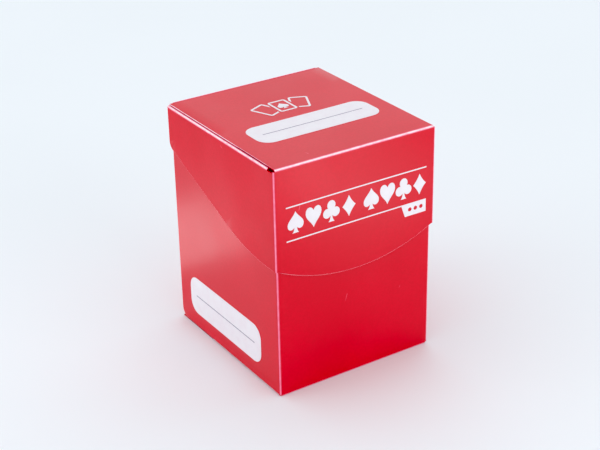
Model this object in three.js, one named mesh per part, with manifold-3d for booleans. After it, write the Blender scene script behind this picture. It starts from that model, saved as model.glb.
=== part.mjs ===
// A card deck box folded from one die-cut blank of polypropylene sheet, with a loose divider inside.
//
// Millimetres, +Z up. The origin is the middle of the base, and the front faces -Y. Every panel and
// every crease of the blank is its own solid. The lid turns on the hinge crease along the back, and
// its front panel and ears come down outside the body. The printed layers lie on the panels.

import * as THREE from 'three';
import { mergeVertices } from 'three/addons/utils/BufferGeometryUtils.js';
import Module from 'manifold-3d';

// ---------------------------------------------------------------- driving dimensions

const SHEET = 0.6; // thickness of the polypropylene sheet
const FOLD = 0.9; // outer radius of every crease
const FOLD_STEPS = 8; // flats round the outside of a crease
const INK = 0.08; // thickness of a printed layer
const THIN_INK = 0.04; // a line printed on top of a label

const WIDTH = 73.5; // over the lid's ears
const DEPTH = 79.2; // lid front to back panel
const HEIGHT = 97; // base to lid top
const LID_GAP = 0.4; // clearance between the body and the lid round it

const RIM_Z = 94.5; // top edge of the body's front and sides
const SIDE_PANEL = { bottomZ: 0.75, pastBackFold: 0.2, lowCorner: 4, topCorner: 1.5 };
const BOTTOM_EDGE_GAP = 0.2; // the bottom's free edges stop this far inside the side panels

const NOTCH = { bowl: 15, depth: 13, lip: 3 }; // thumb notch in the front panel

const GLUE_FLAP = { length: 24, slant: 5, bottomZ: 1, topZ: 93.5 }; // from the back panel forwards
const BOTTOM_TAB = { height: 15, slant: 6 }; // up inside a side panel
const TAB_GAP = 0.5; // beside each end of a bottom tab
const BACK_CREASE_TOP_Z = 95.6; // just under the lid's tabs
const TIP_CORNER = 2; // rounded tips of the flaps and tabs

const LID_CORNER_Z = 55.3; // lowest point of the lid's vertical creases
const LID_DIP = 8.7; // how far the front panel's curved edge drops below them
const EAR = { slope: 0.405, bendY: -18.2, bendRadius: 80, backY: 39.72, backCorner: 4 };
const RELIEF_Y = -35.2; // an ear's top fold starts here, behind a relief notch
const LID_TAB = { width: 12, slant: 5, backY: 38.4 }; // folded in from an ear, under the lid top

const DIVIDER = { thickness: 0.5, halfWidth: 33.4, bottomZ: 0.9, topZ: 89, backY: 38.2, corner: 4 };

const LABEL = { width: 55.6, height: 16.9, corner: 5.4 };
const TOP_LABEL_CENTRE = [0.8, -9.3]; // x, y
const SIDE_LABEL_CENTRE = [2.7, 15.6]; // y, z
const LABEL_LINE = { length: 46, width: 0.35 };
const FRONT_LINE = { left: -31.7, right: 32.7, width: 0.5, upperZ: 80.6, lowerZ: 66.8 };
const COUNT_TAG = { left: 20.8, slant: 1.9, bottomZ: 61.7, dot: 0.85, dotPitch: 2.7 };
const PIP = { height: 8.8, narrowing: 0.93, z: 74, firstX: -27.6, pitch: 8, secondX: 6.7, secondPitch: 7.6 };
const EMBLEM = { y: 6.2, cardWidth: 8, cardHeight: 11, corner: 1.1, line: 0.85, fan: 24, spread: 5.4 };

const RED = 0xd70023;
const CREASE_PINK = 0xff9eb4;
const INK_WHITE = 0xf3ebf2;
const INK_GREY = 0x9d9aa6;
const FROSTED = 0xe9e6e4;

// ---------------------------------------------------------------- places worked out from them

const lidX = WIDTH / 2; // outer face of an ear
const lidFrontY = -DEPTH / 2;
const lidTabZ = HEIGHT - SHEET; // top face of the tabs under the lid top
const bodyX = lidX - SHEET - LID_GAP; // outer face of a side panel
const bodyFrontY = lidFrontY + SHEET + LID_GAP;
const backY = DEPTH / 2;
const flapX = bodyX - SHEET; // outer face of the flaps and tabs inside the side panels
const flapFrontY = backY - FOLD - GLUE_FLAP.length;
const tabFrontY = bodyFrontY + FOLD + TAB_GAP;
const tabBackY = flapFrontY - TAB_GAP;

// ---------------------------------------------------------------- outlines

const point = (u, v) => new THREE.Vector2(u, v);

function arc(u, v, radius, from, to, steps) {
  return Array.from({ length: steps + 1 }, (_, i) => {
    const angle = from + ((to - from) * i) / steps;
    return point(u + radius * Math.cos(angle), v + radius * Math.sin(angle));
  });
}

// Drops a point that repeats the one before it, where two curves meet.
function outline(points) {
  return points.filter((p, i) => p.distanceTo(points.at(i - 1)) > 0.001);
}

// A polygon of [u, v, radius] corners, each one rounded where its radius isn't 0.
function rounded(corners, steps = 8) {
  const points = corners.flatMap(([u, v, radius], i) => {
    const here = point(u, v);
    if (!radius) return [here];
    const [pu, pv] = corners.at(i - 1);
    const [nu, nv] = corners[(i + 1) % corners.length];
    const back = point(pu, pv).sub(here).normalize();
    const ahead = point(nu, nv).sub(here).normalize();
    const half = Math.acos(back.dot(ahead)) / 2;
    const centre = back.clone().add(ahead).normalize().multiplyScalar(radius / Math.sin(half)).add(here);
    const start = back.multiplyScalar(radius / Math.tan(half)).add(here).sub(centre);
    const turn = (Math.PI - 2 * half) * Math.sign(start.cross(here.clone().sub(centre)));
    return arc(centre.x, centre.y, radius, start.angle(), start.angle() + turn, steps);
  });
  return outline(points);
}

function rectangle(u0, v0, u1, v1, radius = 0) {
  return rounded([[u0, v0, radius], [u1, v0, radius], [u1, v1, radius], [u0, v1, radius]]);
}

// The section of a crease. (u, v) is the sharp corner that the two outer faces would meet in, and
// (du, dv) points from it into the box. The outside is a quarter round and the inside a flat.
function foldSection(u, v, du, dv) {
  const middle = point(u + du * FOLD, v + dv * FOLD);
  const outside = Array.from({ length: FOLD_STEPS + 1 }, (_, i) => {
    const angle = (Math.PI / 2) * (i / FOLD_STEPS);
    return point(middle.x - du * FOLD * Math.cos(angle), middle.y - dv * FOLD * Math.sin(angle));
  });
  return [...outside, point(middle.x, v + dv * SHEET), point(u + du * SHEET, middle.y)];
}

// ---------------------------------------------------------------- solids

// Each plane turns an outline's (u, v) and its thickness into the box's own directions.
const PLANES = {
  level: new THREE.Matrix4(), // (u, v) is (x, y)
  upright: new THREE.Matrix4().makeRotationX(Math.PI / 2), // (u, v) is (x, z), facing the front
  sideways: new THREE.Matrix4().makeBasis(
    new THREE.Vector3(0, 1, 0),
    new THREE.Vector3(0, 0, 1),
    new THREE.Vector3(1, 0, 0),
  ), // (u, v) is (y, z)
};

const box = new THREE.Group();

function material(color, roughness) {
  return new THREE.MeshStandardMaterial({ color, roughness, metalness: 0 });
}

function thicken(shape, thickness) {
  const area = shape instanceof THREE.Shape ? shape : new THREE.Shape(shape);
  return new THREE.ExtrudeGeometry(area, { depth: thickness, bevelEnabled: false, curveSegments: 14 });
}

// Adds a mesh that starts that far along its plane's own thickness direction.
function place(name, plane, geometry, start, finish) {
  const mesh = new THREE.Mesh(geometry, finish);
  mesh.name = name;
  mesh.quaternion.setFromRotationMatrix(PLANES[plane]);
  mesh.position.set(0, 0, start).applyMatrix4(PLANES[plane]);
  box.add(mesh);
}

// A plate from low to high along x, y or z. An upright one is thickened towards the front.
function plate(name, plane, shape, low, high, finish) {
  place(name, plane, thicken(shape, high - low), plane === 'upright' ? -high : low, finish);
}

const panel = (name, plane, shape, low) =>
  plate(name, plane, shape, low, low + SHEET, material(RED, 0.42));

const crease = (name, plane, section, low, high) =>
  plate(name, plane, section, low, high, material(CREASE_PINK, 0.5));

const wasm = await Module();
wasm.setup();

function toSolid(geometry) {
  const bare = geometry.clone();
  bare.deleteAttribute('normal');
  bare.deleteAttribute('uv');
  const merged = mergeVertices(bare, 1e-4);
  return new wasm.Manifold(new wasm.Mesh({
    numProp: 3,
    vertProperties: new Float32Array(merged.attributes.position.array),
    triVerts: new Uint32Array(merged.index.array),
  }));
}

function fromSolid(solid) {
  const { vertProperties, triVerts } = solid.getMesh();
  const geometry = new THREE.BufferGeometry();
  geometry.setAttribute('position', new THREE.BufferAttribute(vertProperties, 3));
  geometry.setIndex(new THREE.BufferAttribute(triVerts, 1));
  geometry.computeVertexNormals();
  return geometry;
}

// ---------------------------------------------------------------- body of the box

function thumbNotch() {
  const { bowl, depth, lip } = NOTCH;
  const bowlZ = RIM_Z - depth + bowl;
  const lipZ = RIM_Z - lip;
  const lipX = Math.sqrt((bowl + lip) ** 2 - (bowlZ - lipZ) ** 2);
  const lean = Math.atan2(bowlZ - lipZ, lipX);
  return [
    ...arc(lipX, lipZ, lip, Math.PI / 2, Math.PI - lean, 5),
    ...arc(0, bowlZ, bowl, -lean, lean - Math.PI, 20),
    ...arc(-lipX, lipZ, lip, lean, Math.PI / 2, 5),
  ];
}

function addFrontAndBack() {
  const frontX = bodyX - FOLD;
  panel('front_panel', 'upright', outline([
    point(-frontX, FOLD), point(frontX, FOLD), point(frontX, RIM_Z), ...thumbNotch(), point(-frontX, RIM_Z),
  ]), bodyFrontY);
  const back = rectangle(-(flapX - FOLD), FOLD, flapX - FOLD, HEIGHT - FOLD);
  panel('back_panel', 'upright', back, backY - SHEET);
}

function addBottom() {
  const wide = flapX - BOTTOM_EDGE_GAP;
  const narrow = flapX - FOLD; // where a bottom tab folds up
  const front = bodyFrontY + FOLD;
  const back = backY - FOLD;
  const right = [
    point(wide, front), point(wide, tabFrontY), point(narrow, tabFrontY),
    point(narrow, tabBackY), point(wide, tabBackY), point(wide, back),
  ];
  const left = right.map((p) => point(-p.x, p.y)).reverse();
  panel('bottom_panel', 'level', [...right, ...left], 0);
  crease('bottom_front_crease', 'sideways', foldSection(bodyFrontY, 0, 1, 1), -(bodyX - FOLD), bodyX - FOLD);
  crease('bottom_back_crease', 'sideways', foldSection(backY, 0, -1, 1), -narrow, narrow);
}

function addSide(side, sign) {
  const across = (outer) => (sign > 0 ? outer - SHEET : -outer); // low x of a sheet with that outer face

  const { bottomZ, pastBackFold, lowCorner, topCorner } = SIDE_PANEL;
  const front = bodyFrontY + FOLD;
  const back = backY - FOLD + pastBackFold;
  panel(`${side}_side_panel`, 'sideways', rounded([
    [front, bottomZ, 0], [back, bottomZ, lowCorner], [back, RIM_Z, topCorner], [front, RIM_Z, 0],
  ]), across(bodyX));
  crease(`front_${side}_crease`, 'level', foldSection(sign * bodyX, bodyFrontY, -sign, 1), bottomZ, RIM_Z);

  const flap = GLUE_FLAP;
  panel(`${side}_glue_flap`, 'sideways', rounded([
    [backY - FOLD, flap.bottomZ, 0], [backY - FOLD, flap.topZ, 0],
    [flapFrontY, flap.topZ - flap.slant, TIP_CORNER], [flapFrontY, flap.bottomZ + flap.slant, TIP_CORNER],
  ]), across(flapX));
  crease(`back_${side}_crease`, 'level', foldSection(sign * flapX, backY, -sign, -1),
    flap.bottomZ, BACK_CREASE_TOP_Z);

  const tabTop = FOLD + BOTTOM_TAB.height;
  panel(`${side}_bottom_tab`, 'sideways', rounded([
    [tabFrontY, FOLD, 0], [tabBackY, FOLD, 0],
    [tabBackY - BOTTOM_TAB.slant, tabTop, TIP_CORNER], [tabFrontY + BOTTOM_TAB.slant, tabTop, TIP_CORNER],
  ]), across(flapX));
  crease(`bottom_${side}_crease`, 'upright', foldSection(sign * flapX, 0, -sign, 1), tabFrontY, tabBackY);
}

// ---------------------------------------------------------------- lid

// The lower edge of an ear: level at the front, then a long bend up to a straight slope, and a
// rounded corner at the back.
function earOutline() {
  const angle = Math.atan(EAR.slope);
  const reach = EAR.bendRadius * Math.tan(angle / 2);
  const bendStart = EAR.bendY - reach;
  const backLow = LID_CORNER_Z + (EAR.backY - EAR.bendY) * EAR.slope;
  const down = -Math.PI / 2;
  const bend = arc(bendStart, LID_CORNER_Z + EAR.bendRadius, EAR.bendRadius, down, down + angle, 10);
  const cornerAt = [EAR.backY, backLow, EAR.backCorner];
  const top = lidTabZ - FOLD;
  const rest = rounded([
    [EAR.bendY, LID_CORNER_Z, 0], cornerAt, [EAR.backY, top, 0], [lidFrontY + FOLD, top, 0],
  ]);
  return outline([point(lidFrontY + FOLD, LID_CORNER_Z), ...bend, ...rest.slice(1)]);
}

function addEar(side, sign) {
  panel(`lid_${side}_ear`, 'sideways', earOutline(), sign > 0 ? lidX - SHEET : -lidX);
  crease(`lid_front_${side}_crease`, 'level', foldSection(sign * lidX, lidFrontY, -sign, 1),
    LID_CORNER_Z, HEIGHT - FOLD);
  crease(`lid_${side}_tab_crease`, 'upright', foldSection(sign * lidX, lidTabZ, -sign, -1),
    RELIEF_Y, EAR.backY);

  const outer = sign * (lidX - FOLD);
  const inner = sign * (lidX - FOLD - LID_TAB.width);
  panel(`lid_${side}_tab`, 'level', rounded([
    [outer, RELIEF_Y, 0], [outer, LID_TAB.backY, 0],
    [inner, LID_TAB.backY - LID_TAB.slant, TIP_CORNER], [inner, RELIEF_Y + LID_TAB.slant, TIP_CORNER],
  ]), lidTabZ - SHEET);
}

function addLid() {
  const edgeX = lidX - FOLD;
  const radius = (edgeX ** 2 + LID_DIP ** 2) / (2 * LID_DIP);
  const half = Math.asin(edgeX / radius);
  const down = -Math.PI / 2;
  const curvedEdge = arc(0, LID_CORNER_Z - LID_DIP + radius, radius, down - half, down + half, 28);
  const frontTop = HEIGHT - FOLD;
  panel('lid_front_panel', 'upright', outline([
    ...curvedEdge, point(edgeX, frontTop), point(-edgeX, frontTop),
  ]), lidFrontY);
  panel('lid_top_panel', 'level', rectangle(-edgeX, lidFrontY + FOLD, edgeX, backY - FOLD), HEIGHT - SHEET);
  crease('lid_front_crease', 'sideways', foldSection(lidFrontY, HEIGHT, 1, -1), -edgeX, edgeX);
  const hingeX = flapX - FOLD;
  crease('lid_hinge_crease', 'sideways', foldSection(backY, HEIGHT, -1, -1), -hingeX, hingeX);
}

// ---------------------------------------------------------------- loose divider

function addDivider() {
  const { thickness, halfWidth, bottomZ, topZ, backY: y, corner } = DIVIDER;
  const sheet = rectangle(-halfWidth, bottomZ, halfWidth, topZ, corner);
  plate('card_divider', 'upright', sheet, y - thickness, y, material(FROSTED, 0.5));
}

// ---------------------------------------------------------------- printed layers

const onLid = (name, shape) => plate(name, 'level', shape, HEIGHT, HEIGHT + INK, material(INK_WHITE, 0.55));

const onFront = (name, shape) =>
  plate(name, 'upright', shape, lidFrontY - INK, lidFrontY, material(INK_WHITE, 0.55));

function labelOutline([u, v]) {
  const { width, height, corner } = LABEL;
  return rectangle(u - width / 2, v - height / 2, u + width / 2, v + height / 2, corner);
}

function lineOutline([u, v], { length, width }) {
  return rectangle(u - length / 2, v - width / 2, u + length / 2, v + width / 2);
}

function addLabels() {
  const grey = material(INK_GREY, 0.6);
  onLid('top_label', labelOutline(TOP_LABEL_CENTRE));
  plate('top_label_line', 'level', lineOutline(TOP_LABEL_CENTRE, LABEL_LINE),
    HEIGHT + INK, HEIGHT + INK + THIN_INK, grey);
  plate('side_label', 'sideways', labelOutline(SIDE_LABEL_CENTRE), -bodyX - INK, -bodyX,
    material(INK_WHITE, 0.55));
  plate('side_label_line', 'sideways', lineOutline(SIDE_LABEL_CENTRE, LABEL_LINE),
    -bodyX - INK - THIN_INK, -bodyX - INK, grey.clone());
}

function addFrontLines() {
  const { left, right, width, upperZ, lowerZ } = FRONT_LINE;
  onFront('front_upper_line', rectangle(left, upperZ - width / 2, right, upperZ + width / 2));
  onFront('front_lower_line', rectangle(left, lowerZ - width / 2, COUNT_TAG.left, lowerZ + width / 2));

  const top = lowerZ + width / 2;
  const tag = new THREE.Shape(outline([
    point(COUNT_TAG.left, top), point(COUNT_TAG.left + COUNT_TAG.slant, COUNT_TAG.bottomZ),
    point(right, COUNT_TAG.bottomZ), point(right, top),
  ]));
  const centre = (COUNT_TAG.left + COUNT_TAG.slant + right) / 2;
  for (const step of [-1, 0, 1]) {
    const hole = new THREE.Path();
    const middle = (top + COUNT_TAG.bottomZ) / 2;
    hole.absarc(centre + step * COUNT_TAG.dotPitch, middle, COUNT_TAG.dot, 0, 2 * Math.PI);
    tag.holes.push(hole);
  }
  onFront('front_tag', tag);
}

// The four suits, drawn in a box one unit high, with the origin in its middle.
const suits = {
  diamond(shape) {
    shape.moveTo(0, 0.5);
    shape.quadraticCurveTo(0.14, 0.2, 0.37, 0);
    shape.quadraticCurveTo(0.14, -0.2, 0, -0.5);
    shape.quadraticCurveTo(-0.14, -0.2, -0.37, 0);
    shape.quadraticCurveTo(-0.14, 0.2, 0, 0.5);
  },
  heart(shape) {
    shape.moveTo(0, 0.3);
    shape.bezierCurveTo(0.1, 0.56, 0.45, 0.52, 0.43, 0.18);
    shape.bezierCurveTo(0.41, -0.08, 0.12, -0.22, 0, -0.5);
    shape.bezierCurveTo(-0.12, -0.22, -0.41, -0.08, -0.43, 0.18);
    shape.bezierCurveTo(-0.45, 0.52, -0.1, 0.56, 0, 0.3);
  },
  spade(shape) {
    shape.moveTo(0, 0.5);
    shape.bezierCurveTo(0.12, 0.24, 0.42, 0.12, 0.43, -0.1);
    shape.bezierCurveTo(0.44, -0.36, 0.17, -0.4, 0.07, -0.24);
    shape.quadraticCurveTo(0.08, -0.42, 0.18, -0.5);
    shape.lineTo(-0.18, -0.5);
    shape.quadraticCurveTo(-0.08, -0.42, -0.07, -0.24);
    shape.bezierCurveTo(-0.17, -0.4, -0.44, -0.36, -0.43, -0.1);
    shape.bezierCurveTo(-0.42, 0.12, -0.12, 0.24, 0, 0.5);
  },
  club(shape) {
    const lobe = 0.225;
    const [topY, sideX, sideY] = [0.275, 0.235, -0.08];
    const topEnd = 0.656; // where the top lobe meets a side lobe, below the level
    const sideStart = 1.316; // the same point seen from the side lobe's middle
    const stem = 0.55;
    shape.absarc(0, topY, lobe, -topEnd, Math.PI + topEnd, false);
    shape.absarc(-sideX, sideY, lobe, sideStart, -stem, false);
    shape.quadraticCurveTo(-0.06, -0.42, -0.17, -0.5);
    shape.lineTo(0.17, -0.5);
    shape.quadraticCurveTo(0.06, -0.42, sideX - lobe * Math.cos(stem), sideY - lobe * Math.sin(stem));
    shape.absarc(sideX, sideY, lobe, Math.PI + stem, Math.PI - sideStart, false);
  },
};

function suitOutline(suit, [u, v], height, narrowing = 1) {
  const unit = new THREE.Shape();
  suits[suit](unit);
  const points = unit.getPoints(7).map((p) => point(u + p.x * height * narrowing, v + p.y * height));
  return outline(points);
}

function addPips() {
  const order = ['spade', 'heart', 'club', 'diamond'];
  for (let i = 0; i < 8; i += 1) {
    const x = i < 4 ? PIP.firstX + i * PIP.pitch : PIP.secondX + (i - 4) * PIP.secondPitch;
    const suit = order[i % 4];
    onFront(`front_${suit}_${i < 4 ? 'a' : 'b'}`, suitOutline(suit, [x, PIP.z], PIP.height, PIP.narrowing));
  }
}

// Three fanned cards in outline. The middle card lies on the other two.
function addEmblem() {
  const { y, cardWidth, cardHeight, corner, line, fan, spread } = EMBLEM;
  const card = (grow) => rectangle(
    -cardWidth / 2 - grow, -grow, cardWidth / 2 + grow, cardHeight + grow, corner + grow,
  );
  const ring = () => {
    const shape = new THREE.Shape(card(0));
    shape.holes.push(new THREE.Path(card(-line)));
    return thicken(shape, INK);
  };
  const cover = toSolid(thicken(card(line), 3 * INK).translate(0, y, -INK));
  for (const [side, sign] of [['left', -1], ['right', 1]]) {
    const turn = THREE.MathUtils.degToRad(-sign * fan);
    const outer = toSolid(ring().rotateZ(turn).translate(sign * spread, y, 0));
    const visible = fromSolid(outer.subtract(cover));
    place(`emblem_${side}_card`, 'level', visible, HEIGHT, material(INK_WHITE, 0.55));
  }
  place('emblem_middle_card', 'level', ring().translate(0, y, 0), HEIGHT, material(INK_WHITE, 0.55));
  onLid('emblem_pip', suitOutline('spade', [0, y + cardHeight / 2], cardHeight / 2));
}

// ---------------------------------------------------------------- assembly

addFrontAndBack();
addBottom();
for (const [side, sign] of [['left', -1], ['right', 1]]) {
  addSide(side, sign);
  addEar(side, sign);
}
addLid();
addDivider();
addLabels();
addFrontLines();
addPips();
addEmblem();

export default box;
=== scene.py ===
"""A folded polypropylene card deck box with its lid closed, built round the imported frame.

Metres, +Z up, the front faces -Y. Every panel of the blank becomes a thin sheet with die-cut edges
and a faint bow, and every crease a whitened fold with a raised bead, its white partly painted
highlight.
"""

import math

import bmesh
import bpy
from mathutils import Matrix, Vector, noise


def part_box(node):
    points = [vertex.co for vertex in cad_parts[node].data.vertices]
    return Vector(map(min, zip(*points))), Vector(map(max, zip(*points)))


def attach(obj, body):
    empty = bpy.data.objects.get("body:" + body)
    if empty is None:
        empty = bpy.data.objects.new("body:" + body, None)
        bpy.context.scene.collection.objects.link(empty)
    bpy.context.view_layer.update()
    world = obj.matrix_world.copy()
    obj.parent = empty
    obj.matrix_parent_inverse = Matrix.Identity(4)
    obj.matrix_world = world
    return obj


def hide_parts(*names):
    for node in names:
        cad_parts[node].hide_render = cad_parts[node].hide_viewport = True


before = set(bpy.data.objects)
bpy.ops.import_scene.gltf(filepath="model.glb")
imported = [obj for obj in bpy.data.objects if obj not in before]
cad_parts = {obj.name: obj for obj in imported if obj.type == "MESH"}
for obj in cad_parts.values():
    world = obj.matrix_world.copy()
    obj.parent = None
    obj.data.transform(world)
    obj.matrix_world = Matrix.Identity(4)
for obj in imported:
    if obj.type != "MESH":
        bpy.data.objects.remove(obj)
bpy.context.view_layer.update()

MM = 0.001
X, Y, Z = 0, 1, 2

# ------------------------------------------------------------------ sizes taken from the frame

lid_top_low, lid_top_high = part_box("lid_top_panel")
SHEET = lid_top_high.z - lid_top_low.z
fold_low, fold_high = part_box("lid_front_crease")
FOLD = fold_high.z - fold_low.z
hinge_low, hinge_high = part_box("lid_hinge_crease")
HINGE = Vector((0, hinge_high.y, hinge_high.z))  # the lid turns about this line along X

CUT_EDGE = 0.2 * MM  # rounding of a die-cut edge
GRID = 6 * MM  # spacing of the cuts that let a sheet bow
RIM_WHITE_AND_HIGHLIGHT = 0.9  # how pale the outer rim of a cut edge is: partly stress-whitening, partly painted highlight
HINGE_BEAD = 0.12 * MM  # radius of the hinge's web
MITRE_GAP = 0.02 * MM  # between a mitred end and the hinge line
BOTTOM_REACH = 0.55 * MM  # how far the bottom's free edges go under the side panels

TOUCH = 0.01 * MM  # a point this near to a line or a face lies on it
MERGE = 0.001 * MM  # points this near to each other are one
FLAT_ANGLE = math.radians(0.3)  # faces that differ by less are one flat face
SMOOTH_ANGLE = math.radians(20)  # faces that differ by less shade as one round
BROAD = 0.9  # a face is broad when its normal lies at least this much along the sheet's axis
FLAT = 0.99  # and it isn't part of a rounding when it does so at least this much


# ------------------------------------------------------------------ camera

def add_camera():
    """The box seen from its front left, a little above its lid."""
    azimuth, elevation, roll = math.radians(32.63), math.radians(26.48), math.radians(-1.19)
    target = Vector((0.25, 1.0, 48.23)) * MM
    distance = 580.3 * MM
    ahead = Vector((
        math.sin(azimuth) * math.cos(elevation),
        math.cos(azimuth) * math.cos(elevation),
        -math.sin(elevation),
    ))
    turn = ahead.to_track_quat("-Z", "Y").to_matrix() @ Matrix.Rotation(roll, 3, "Z")
    data = bpy.data.cameras.new("camera")
    data.sensor_width = 36
    data.lens = 85.7
    camera = bpy.data.objects.new("camera", data)
    camera.matrix_world = Matrix.Translation(target - ahead * distance) @ turn.to_4x4()
    bpy.context.scene.collection.objects.link(camera)
    bpy.context.scene.camera = camera


# ------------------------------------------------------------------ materials

class Nodes:
    """A material's node tree with short ways to add and join nodes."""

    def __init__(self, name):
        self.material = bpy.data.materials.new(name)
        self.material.use_nodes = True
        self.tree = self.material.node_tree
        self.shader = self.tree.nodes["Principled BSDF"]

    def add(self, kind, **inputs):
        node = self.tree.nodes.new(kind)
        for key, value in inputs.items():
            name = key.replace("_", " ")
            if isinstance(value, bpy.types.NodeSocket):
                self.tree.links.new(value, node.inputs[name])
            else:
                node.inputs[name].default_value = value
        return node

    def join(self, output, target):
        self.tree.links.new(output, target)

    def coords(self, stretch=(1, 1, 1), turn=(0, 0, 0)):
        """Object coordinates in metres, turned and then stretched."""
        source = self.tree.nodes.new("ShaderNodeTexCoord")
        mapping = self.tree.nodes.new("ShaderNodeMapping")
        mapping.vector_type = "TEXTURE"
        mapping.inputs["Scale"].default_value = stretch
        mapping.inputs["Rotation"].default_value = turn
        self.join(source.outputs["Object"], mapping.inputs["Vector"])
        return mapping.outputs["Vector"]

    def attribute(self, name):
        node = self.tree.nodes.new("ShaderNodeAttribute")
        node.attribute_name = name
        return node.outputs["Fac"]

    def noise(self, scale, detail=2.0, rough=0.5, vector=None):
        vector = vector or self.coords()
        return self.add("ShaderNodeTexNoise", Scale=scale, Detail=detail, Roughness=rough,
                        Vector=vector).outputs["Fac"]

    def ramp(self, value, low, high, to_low=0.0, to_high=1.0, smooth=True):
        """value from low..high to to_low..to_high, clamped."""
        node = self.tree.nodes.new("ShaderNodeMapRange")
        node.interpolation_type = "SMOOTHSTEP" if smooth else "LINEAR"
        self.join(value, node.inputs["Value"])
        ends = {"From Min": low, "From Max": high, "To Min": to_low, "To Max": to_high}
        for name, number in ends.items():
            node.inputs[name].default_value = number
        return node.outputs["Result"]

    def math(self, operation, a, b, clamp=False):
        node = self.tree.nodes.new("ShaderNodeMath")
        node.operation = operation
        node.use_clamp = clamp
        for socket, value in zip(node.inputs, (a, b)):
            if isinstance(value, bpy.types.NodeSocket):
                self.join(value, socket)
            else:
                socket.default_value = value
        return node.outputs["Value"]

    def mix(self, factor, a, b):
        """A colour between a and b."""
        node = self.tree.nodes.new("ShaderNodeMix")
        node.data_type = "RGBA"
        for name, value in (("Factor_Float", factor), ("A_Color", a), ("B_Color", b)):
            socket = next(s for s in node.inputs if s.identifier == name)
            if isinstance(value, bpy.types.NodeSocket):
                self.join(value, socket)
            else:
                socket.default_value = value
        return next(s for s in node.outputs if s.identifier == "Result_Color")

    def bump(self, height, strength, distance):
        node = self.add("ShaderNodeBump", Height=height, Strength=strength, Distance=distance)
        self.join(node.outputs["Normal"], self.shader.inputs["Normal"])

    def finish(self, **inputs):
        for key, value in inputs.items():
            socket = self.shader.inputs[key.replace("_", " ")]
            if isinstance(value, bpy.types.NodeSocket):
                self.join(value, socket)
            else:
                socket.default_value = value
        return self.material


RED = (0.69, 0.0012, 0.018, 1)
DEEP_RED = (0.63, 0.001, 0.014, 1)
CUT_EDGE_RED_AND_SHADE = (0.16, 0.0008, 0.006, 1)  # a cut edge, seen into the thickness of the sheet, and darker still as painted shade of the gap beside it
PAINTED_SEEP_GLOW = 0.045  # painted glow: an even red emission over every red sheet stands in for the little light that comes through the thin sheet from its other side
BLUSH_AND_HIGHLIGHT = (0.95, 0.22, 0.36, 1)  # stress-whitened red, also the pink edge of the painted fold highlight
# the palest part of a fold, partly stress-whitening and partly painted highlight
CREASE_WHITE_AND_HIGHLIGHT = (0.98, 0.84, 0.87, 1)
NICK_WHITENESS = 0.45
EAR_DULLNESS = 0.19  # added to the roughness of the ears
EDGE_DULLNESS = 0.5  # added to the roughness of a cut edge
GRAIN_SIZE = 0.012 * MM
INK_GRAIN_SIZE = 0.006 * MM
PRINT_WHITE = (0.86, 0.82, 0.86, 1)
PRINT_GREY = (0.30, 0.27, 0.36, 1)
FROST = (0.80, 0.80, 0.80, 1)
COOL_FROST = (0.74, 0.75, 0.78, 1)


def red_sheet():
    """Satin red polypropylene: fine grain, a few nicks, dark cut edges partly from painted shade,
    white folds and rims partly from painted highlight, and a faint painted glow.
    """
    n = Nodes("red_sheet")
    grain = n.noise(2600, detail=2, rough=0.6)
    clouds = n.ramp(n.noise(22, detail=3), 0.35, 0.65, 0.0, 0.7)
    speckle = n.ramp(n.noise(1100, detail=1), 0.3, 0.7, -0.3, 0.3)
    colour = n.mix(n.math("ADD", clouds, speckle, clamp=True), DEEP_RED, RED)

    # painted shade: cut edges take a much darker red that stands in for the shadowed gap beside
    # them, on top of the sheet's deeper tone seen edge-on
    edge = n.attribute("edge")
    colour = n.mix(edge, colour, CUT_EDGE_RED_AND_SHADE)

    slanted = n.coords(stretch=(1 / 2600, 1 / 90, 1 / 60), turn=(0.5, 0.3, 0.2))
    nick_line = n.noise(1.0, detail=0, vector=slanted)
    nick_zone = n.ramp(n.noise(110, detail=1), 0.74, 0.78)
    nicks = n.math("MULTIPLY", n.ramp(nick_line, 0.66, 0.74), nick_zone)
    colour = n.mix(n.math("MULTIPLY", nicks, NICK_WHITENESS), colour, BLUSH_AND_HIGHLIGHT)

    # the pale folds and rims: partly stress-whitening, partly painted highlight
    streak = n.ramp(n.noise(420, detail=3), 0.25, 0.75, 0.8, 1.1)
    white = n.math("MULTIPLY", n.attribute("whiteness_and_highlight"), streak, clamp=True)
    colour = n.mix(n.ramp(white, 0.0, 0.5), colour, BLUSH_AND_HIGHLIGHT)
    colour = n.mix(n.ramp(white, 0.45, 1.0), colour, CREASE_WHITE_AND_HIGHLIGHT)

    satin = n.ramp(n.noise(35, detail=2), 0.3, 0.7, 0.29, 0.35)
    dull = n.math("MULTIPLY", n.attribute("dull"), EAR_DULLNESS)
    dull_edge = n.math("MULTIPLY", edge, EDGE_DULLNESS)
    rough = n.math("ADD", n.math("ADD", satin, dull), dull_edge, clamp=True)
    n.bump(n.math("ADD", grain, n.math("MULTIPLY", nicks, 1.5)), 0.35, GRAIN_SIZE)
    # painted glow: the red sheet emits a little red light everywhere, standing in for light through
    # the sheet
    return n.finish(Base_Color=colour, Roughness=rough, IOR=1.49, Emission_Color=RED,
                    Emission_Strength=PAINTED_SEEP_GLOW)


def print_ink(name, colour, wear):
    """Flat screen-printed ink with a little mottle."""
    n = Nodes(name)
    mottle = n.ramp(n.noise(260, detail=4, rough=0.6), 0.35, 0.75, 0.0, wear)
    worn = (colour[0] * 0.96, colour[1] * 0.89, colour[2] * 0.92, 1)
    n.bump(n.noise(2600, detail=2), 0.15, INK_GRAIN_SIZE)
    rough = n.ramp(n.noise(60), 0.3, 0.7, 0.50, 0.60)
    return n.finish(Base_Color=n.mix(mottle, colour, worn), Roughness=rough, IOR=1.5)


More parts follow.
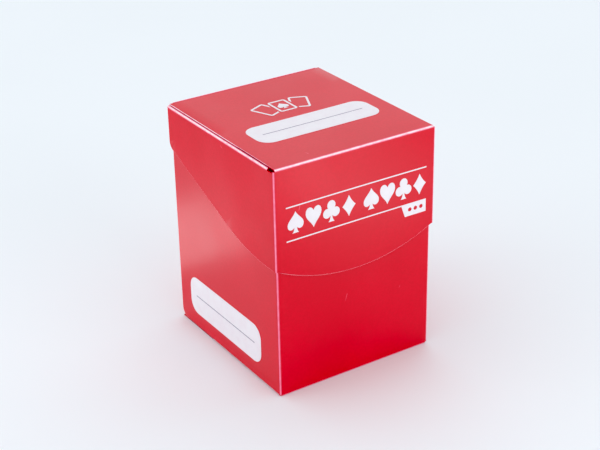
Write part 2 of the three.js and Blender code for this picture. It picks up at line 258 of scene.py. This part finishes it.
def frosted_sheet():
    """The divider's frosted polypropylene."""
    n = Nodes("frosted_sheet")
    tone = n.mix(n.ramp(n.noise(30, detail=3), 0.3, 0.7), FROST, COOL_FROST)
    n.bump(n.noise(2200, detail=2), 0.3, GRAIN_SIZE)
    rough = n.ramp(n.noise(80), 0.3, 0.7, 0.42, 0.52)
    return n.finish(Base_Color=tone, Roughness=rough, IOR=1.49)


# ------------------------------------------------------------------ sheets

def link(name, bm, material, body, slot, *nodes):
    """Makes the object, paints it, and ties it to its CAD body and nodes. The slot is not used."""
    mesh = bpy.data.meshes.new(name)
    bm.to_mesh(mesh)
    bm.free()
    mesh.shade_smooth()
    mesh.set_sharp_from_angle(angle=SMOOTH_ANGLE)
    mesh.materials.append(material)
    piece = bpy.data.objects.new(name, mesh)
    bpy.context.scene.collection.objects.link(piece)
    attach(piece, body)
    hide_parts(*nodes)
    return piece


def clean_copy(node):
    """A CAD node's mesh with its loose triangles merged into whole faces."""
    bm = bmesh.new()
    bm.from_mesh(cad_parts[node].data)
    bmesh.ops.remove_doubles(bm, verts=bm.verts, dist=MERGE)
    bmesh.ops.dissolve_limit(bm, angle_limit=FLAT_ANGLE, verts=bm.verts, edges=bm.edges)
    for layer in list(bm.loops.layers.uv):
        bm.loops.layers.uv.remove(layer)
    return bm


def cut(bm, axis, place):
    """Cuts every face where it crosses the plane axis = place."""
    at, normal = Vector((0, 0, 0)), Vector((0, 0, 0))
    at[axis], normal[axis] = place, 1
    geometry = bm.verts[:] + bm.edges[:] + bm.faces[:]
    bmesh.ops.bisect_plane(bm, geom=geometry, plane_co=at, plane_no=normal, dist=MERGE)


def grid_cuts(bm, axis, low, high):
    """Cuts every face about every GRID between low and high."""
    count = max(1, round((high - low) / GRID))
    for i in range(1, count):
        cut(bm, axis, low + (high - low) * i / count)


class Sheet:
    """A flat panel: its normal axis, its outward side, the sides where it goes on into a fold, how
    many millimetres its middle bows inwards, how much duller it is than the side panels, which the
    ears rub smooth, and a function that lets an end of it reach its neighbour."""

    def __init__(self, node, axis, outward, folds, bow, body, dull=0.0, reach=None):
        self.node, self.axis, self.outward, self.body = node, axis, outward, body
        self.low, self.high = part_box(node)
        self.across = [a for a in (X, Y, Z) if a != axis]
        self.bow = bow * MM
        self.dull = dull
        self.reach = reach
        self.folds = [(a, self.high[a] if end > 0 else self.low[a]) for a, end in folds]

    def bow_at(self, co):
        """The inward shift at a point: none along the folds, most in the middle."""
        share = 1.0
        for a in self.across:
            middle, half = (self.low[a] + self.high[a]) / 2, (self.high[a] - self.low[a]) / 2
            share *= max(0.0, 1 - ((co[a] - middle) / half) ** 2)
        return -self.outward * self.bow * share

    def fold_distance(self, co):
        return min((abs(co[a] - place) for a, place in self.folds), default=1.0)

    def on_fold(self, edge):
        return any(
            all(abs(v.co[a] - place) < TOUCH for v in edge.verts)
            for a, place in self.folds
        )

    def rim_edges(self, bm):
        """The edges between a broad face and a die-cut edge."""
        found = []
        for edge in bm.edges:
            broad = [abs(f.normal[self.axis]) > BROAD for f in edge.link_faces]
            if len(broad) == 2 and broad[0] != broad[1] and not self.on_fold(edge):
                found.append(edge)
        return found

    def mark(self, bm):
        """Marks the cut edges: a pale outer rim on the rounding, partly stress-whitening and partly
        painted highlight, and a dark core below it, partly the sheet's own tone and partly painted
        shade.
        """
        whiteness_and_highlight = bm.verts.layers.float.new("whiteness_and_highlight")
        edge = bm.verts.layers.float.new("edge")
        dull = bm.verts.layers.float.new("dull")
        outside = self.high[self.axis] if self.outward > 0 else self.low[self.axis]
        bm.normal_update()
        for vert in bm.verts:
            vert[dull] = self.dull
            if self.fold_distance(vert.co) < TOUCH:
                continue
            if all(abs(f.normal[self.axis]) < FLAT for f in vert.link_faces):
                depth = abs(vert.co[self.axis] - outside)
                # the pale rim: partly stress-whitening, partly painted highlight
                vert[whiteness_and_highlight] = RIM_WHITE_AND_HIGHLIGHT if depth < CUT_EDGE * 0.9 else 0.0
                # painted shade: the core of a cut edge is marked for the dark red
                vert[edge] = 0.0 if depth < CUT_EDGE * 0.5 else 1.0

    def build(self, material, slot="red_sheet"):
        bm = clean_copy(self.node)
        if self.reach:
            self.reach(self, bm)
        bm.normal_update()
        bmesh.ops.bevel(bm, geom=self.rim_edges(bm), offset=CUT_EDGE, offset_type="OFFSET",
                        segments=2, profile=0.5, affect="EDGES", material=-1, clamp_overlap=True)
        for a in self.across:
            grid_cuts(bm, a, self.low[a], self.high[a])
        self.mark(bm)
        for vert in bm.verts:
            vert.co[self.axis] += self.bow_at(vert.co)
        return link(self.node + "_sheet", bm, material, self.body, slot, self.node)


def reach_up_to_hinge(sheet, bm):
    """The back panel's top end goes on up to the hinge line, mitred at 45 degrees."""
    outside = sheet.high.y
    for vert in bm.verts:
        if vert.co.z > sheet.high.z - TOUCH:
            inset = outside - vert.co.y
            vert.co.z = HINGE.z - inset - MITRE_GAP


def reach_back_to_hinge(sheet, bm):
    """The lid top's rear end goes on to the hinge line, mitred to meet the back panel."""
    outside = sheet.high.z
    for vert in bm.verts:
        if vert.co.y > sheet.high.y - TOUCH:
            inset = outside - vert.co.z
            vert.co.y = HINGE.y - inset - MITRE_GAP


def reach_out_to_sides(sheet, bm):
    """The bottom's free edges lie just under the side panels, so that no light shows between."""
    for vert in bm.verts:
        if abs(vert.co.x) > sheet.high.x - TOUCH:
            vert.co.x += math.copysign(BOTTOM_REACH, vert.co.x)


def add_sheets(red):
    low, high = -1, 1
    sheets = [
        Sheet("front_panel", Y, low, [(X, low), (X, high), (Z, low)], 0.35, "box_body"),
        Sheet("back_panel", Y, high, [(X, low), (X, high), (Z, low), (Z, high)], 0.25, "box_body",
              reach=reach_up_to_hinge),
        Sheet("bottom_panel", Z, low, [(Y, low), (Y, high)], 0, "box_body",
              reach=reach_out_to_sides),
        Sheet("lid_front_panel", Y, low, [(X, low), (X, high), (Z, high)], 0.25, "lid"),
        Sheet("lid_top_panel", Z, high, [(Y, low), (Y, high)], 0.15, "lid",
              reach=reach_back_to_hinge),
    ]
    for side, out in (("left", low), ("right", high)):
        sheets += [
            Sheet(f"{side}_side_panel", X, out, [(Y, low)], 0.2, "box_body"),
            Sheet(f"{side}_glue_flap", X, out, [(Y, high)], 0, "box_body"),
            Sheet(f"{side}_bottom_tab", X, out, [(Z, low)], 0, "box_body"),
            Sheet(f"lid_{side}_ear", X, out, [(Y, low), (Z, high)], 0.1, "lid", dull=1.0),
            Sheet(f"lid_{side}_tab", Z, high, [(X, out)], 0, "lid"),
        ]
    for sheet in sheets:
        sheet.build(red)
    return {sheet.node: sheet for sheet in sheets}


# ------------------------------------------------------------------ folds

FOLD_STEPS = 18  # flats round the outside of a fold
FOLD_LENGTH_STEP = 2.5 * MM
BEAD_RISE = 0.07 * MM  # along the middle of a fold
GROOVE_DEPTH = 0.03 * MM  # on both sides of the bead
RIPPLE = 0.012  # how much a fold's radius wavers along it, as a share
RIPPLE_PITCH = 260  # per metre
ON_ROUND = 0.1 * MM  # a point this near to the outer radius is on the outer round

# how white a fold is, partly stress-whitening and partly painted highlight that is whitest on the
# lid's top folds, and over how many degrees across it that fades
BODY_FOLD = (0.55, 24)
BACK_FOLD = (0.5, 22)
BOTTOM_FOLD = (0.4, 26)
LID_FOLD = (0.6, 24)
LID_TOP_FOLD = (1.0, 34)
HINGE_WHITE = 0.5


def bead_radius(angle):
    """The fold's outer radius at an angle across it: a raised bead between two shallow grooves."""

    def hump(centre, width):
        return math.exp(-(((math.degrees(angle) - centre) / width) ** 2))

    return FOLD + BEAD_RISE * hump(45, 13) - GROOVE_DEPTH * (hump(17, 8) + hump(73, 8))


def fold_profile(bm):
    """The fold's section as one face, with the centre of its outer round at the origin."""
    start = bm.verts.new((FOLD, 0, 0))
    bmesh.ops.spin(bm, geom=[start], cent=(0, 0, 0), axis=(0, 0, 1), angle=math.pi / 2,
                   steps=FOLD_STEPS, use_duplicate=False)
    outer = sorted(bm.verts, key=lambda v: math.atan2(v.co.y, v.co.x))
    for vert in outer:
        angle = math.atan2(vert.co.y, vert.co.x)
        vert.co = Vector((math.cos(angle), math.sin(angle), 0)) * bead_radius(angle)
    inner = [bm.verts.new((0, FOLD - SHEET, 0)), bm.verts.new((FOLD - SHEET, 0, 0))]
    return bm.faces.new(outer + inner)


def add_fold(node, along, outward, white_and_highlight, red, body):
    """A fold along an axis. outward gives, for the other two axes, the side its round faces."""
    low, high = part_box(node)
    whiteness, width = white_and_highlight
    bm = bmesh.new()
    face = fold_profile(bm)
    length = high[along] - low[along]
    drawn = bmesh.ops.extrude_face_region(bm, geom=[face])
    ends = [v for v in drawn["geom"] if isinstance(v, bmesh.types.BMVert)]
    bmesh.ops.translate(bm, verts=ends, vec=(0, 0, length))
    steps = max(1, round(length / FOLD_LENGTH_STEP))
    for i in range(1, steps):
        cut(bm, Z, length * i / steps)

    whiteness_and_highlight = bm.verts.layers.float.new("whiteness_and_highlight")
    for vert in bm.verts:
        angle = math.atan2(vert.co.y, vert.co.x)
        across = math.sin(2 * angle)
        outside = vert.co.xy.length > FOLD - ON_ROUND
        off_middle = (math.degrees(angle) - 45) / width
        # painted highlight mixed with the fold's whitening, palest along the middle of its outer
        # round
        vert[whiteness_and_highlight] = whiteness * math.exp(-(off_middle ** 2)) if outside else 0.0
        if outside and across > 0.05:
            this_fold = low.x * 900 + low.z * 700  # so that no two folds waver alike
            ripple = noise.noise(Vector((vert.co.z * RIPPLE_PITCH, angle, this_fold)))
            vert.co.xy *= 1 + RIPPLE * ripple * across

    others = [a for a in (X, Y, Z) if a != along]
    place = Matrix.Identity(4)
    for column, (axis, out) in enumerate(zip(others, outward)):
        place[column][column] = 0
        place[axis][column] = out
        place[axis][3] = low[axis] if out > 0 else high[axis]
    place[Z][2] = 0
    place[along][2] = 1
    place[along][3] = low[along]
    bmesh.ops.transform(bm, matrix=place, verts=bm.verts)
    bmesh.ops.recalc_face_normals(bm, faces=bm.faces)
    link(node + "_fold", bm, red, body, "creased_sheet", node)


def add_folds(red):
    add_fold("bottom_front_crease", X, (-1, -1), BOTTOM_FOLD, red, "box_body")
    add_fold("bottom_back_crease", X, (1, -1), BOTTOM_FOLD, red, "box_body")
    add_fold("lid_front_crease", X, (-1, 1), LID_TOP_FOLD, red, "lid")
    for side, out in (("left", -1), ("right", 1)):
        add_fold(f"front_{side}_crease", Z, (out, -1), BODY_FOLD, red, "box_body")
        add_fold(f"back_{side}_crease", Z, (out, 1), BACK_FOLD, red, "box_body")
        add_fold(f"bottom_{side}_crease", Y, (out, -1), BOTTOM_FOLD, red, "box_body")
        add_fold(f"lid_front_{side}_crease", Z, (out, -1), LID_FOLD, red, "lid")
        add_fold(f"lid_{side}_tab_crease", Y, (out, 1), LID_TOP_FOLD, red, "lid")


def add_hinge_bead(red):
    """The living hinge's web: a thin bead on the line that the lid turns about, which joins the
    two mitred sheets at every angle of the lid."""
    bm = bmesh.new()
    length = hinge_high.x - hinge_low.x
    turn = Matrix.Translation(HINGE) @ Matrix.Rotation(math.pi / 2, 4, "Y")
    bmesh.ops.create_cone(bm, cap_ends=True, segments=20, radius1=HINGE_BEAD, radius2=HINGE_BEAD,
                          depth=length, matrix=turn)
    whiteness_and_highlight = bm.verts.layers.float.new("whiteness_and_highlight")
    for vert in bm.verts:
        vert[whiteness_and_highlight] = HINGE_WHITE
    link("lid_hinge_web", bm, red, "box_body", "creased_sheet", "lid_hinge_crease")


# ------------------------------------------------------------------ print and divider

def add_print(node, host, material, slot, body):
    """A printed layer that follows the bow of the sheet under it."""
    bm = clean_copy(node)
    low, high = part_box(node)
    for a in host.across:
        grid_cuts(bm, a, low[a], high[a])
    for vert in bm.verts:
        vert.co[host.axis] += host.bow_at(vert.co)
    link(node + "_print", bm, material, body, slot, node)


def add_prints(sheets):
    white = print_ink("white_ink", PRINT_WHITE, 0.5)
    grey = print_ink("grey_ink", PRINT_GREY, 0.3)
    top, front, side = sheets["lid_top_panel"], sheets["lid_front_panel"], sheets["left_side_panel"]
    add_print("top_label", top, white, "white_ink", "lid")
    add_print("top_label_line", top, grey, "grey_ink", "lid")
    add_print("side_label", side, white, "white_ink", "box_body")
    add_print("side_label_line", side, grey, "grey_ink", "box_body")
    for name in ("emblem_left_card", "emblem_middle_card", "emblem_right_card", "emblem_pip"):
        add_print(name, top, white, "white_ink", "lid")
    for name in ("front_upper_line", "front_lower_line", "front_tag"):
        add_print(name, front, white, "white_ink", "lid")
    for suit in ("spade", "heart", "club", "diamond"):
        for group in ("a", "b"):
            add_print(f"front_{suit}_{group}", front, white, "white_ink", "lid")


def add_divider():
    divider = Sheet("card_divider", Y, 1, [], 0.15, "divider")
    divider.build(frosted_sheet(), slot="divider_sheet")


# ------------------------------------------------------------------ floor and light

FLOOR_HALF = 3  # metres
FLOOR_TONES = (0.88, 0.91, 0.94, 1), (0.90, 0.93, 0.96, 1)
TENT_COLOUR = (0.93, 0.97, 1.0, 1)
BRIGHT_WAY = (0.1, 0.95, 0.3)  # where the light tent is brightest
DIM_LEVEL, BRIGHT_LEVEL = 0.55, 1.2
BLACK_POINT = 0.035


def add_floor():
    bm = bmesh.new()
    bmesh.ops.create_grid(bm, x_segments=1, y_segments=1, size=FLOOR_HALF)
    mesh = bpy.data.meshes.new("floor")
    bm.to_mesh(mesh)
    bm.free()
    n = Nodes("pale_floor")
    tone = n.mix(n.ramp(n.noise(3, detail=2), 0.3, 0.7), *FLOOR_TONES)
    mesh.materials.append(n.finish(Base_Color=tone, Roughness=0.7))
    floor = bpy.data.objects.new("floor", mesh)
    bpy.context.scene.collection.objects.link(floor)


def add_light(name, place, target, size, power):
    """An area light that the camera doesn't see, in metres and watts."""
    data = bpy.data.lights.new(name, "AREA")
    data.shape = "RECTANGLE"
    data.size, data.size_y = size
    data.energy = power
    lamp = bpy.data.objects.new(name, data)
    place, target = Vector(place), Vector(target)
    turn = (target - place).to_track_quat("-Z", "Y").to_matrix().to_4x4()
    lamp.matrix_world = Matrix.Translation(place) @ turn
    lamp.visible_camera = False
    bpy.context.scene.collection.objects.link(lamp)


def add_world():
    """A pale light tent, brighter behind the box than in front of it."""
    world = bpy.data.worlds.new("studio")
    world.use_nodes = True
    tree = world.node_tree
    background = tree.nodes["Background"]
    direction = tree.nodes.new("ShaderNodeTexCoord").outputs["Generated"]
    along = tree.nodes.new("ShaderNodeVectorMath")
    along.operation = "DOT_PRODUCT"
    along.inputs[1].default_value = BRIGHT_WAY
    tree.links.new(direction, along.inputs[0])
    level = tree.nodes.new("ShaderNodeMapRange")
    level.interpolation_type = "SMOOTHSTEP"
    tree.links.new(along.outputs["Value"], level.inputs["Value"])
    ends = {"From Min": -1, "From Max": 1, "To Min": DIM_LEVEL, "To Max": BRIGHT_LEVEL}
    for name, number in ends.items():
        level.inputs[name].default_value = number
    tree.links.new(level.outputs["Result"], background.inputs["Strength"])
    background.inputs["Color"].default_value = TENT_COLOUR
    bpy.context.scene.world = world


def add_studio():
    """The tent, two softboxes, and two small cards on the floor that face up, whose light shows
    as a soft sheen on the front and the left side."""
    add_world()
    middle = (0, 0, 0.05)
    add_light("front_softbox", (0.25, -1.15, 0.3), middle, (0.9, 0.7), 4.3)
    add_light("left_softbox", (-0.95, 0.25, 0.35), middle, (0.6, 0.6), 1.5)
    add_light("front_low_card", (0.095, -0.205, 0.002), (0.095, -0.205, 1), (0.08, 0.11), 0.058)
    add_light("left_low_card", (-0.078, 0.104, 0.002), (-0.078, 0.104, 1), (0.06, 0.06), 0.017)


def set_tone():
    """A plain view with a raised black point, as a studio camera has."""
    view = bpy.context.scene.view_settings
    view.view_transform = "Standard"
    view.use_curve_mapping = True
    view.curve_mapping.black_level = (BLACK_POINT, BLACK_POINT, BLACK_POINT)
    view.curve_mapping.update()


# ------------------------------------------------------------------ the whole box

add_camera()
red = red_sheet()
sheets = add_sheets(red)
add_folds(red)
add_hinge_bead(red)
add_prints(sheets)
add_divider()
add_floor()
add_studio()
set_tone()
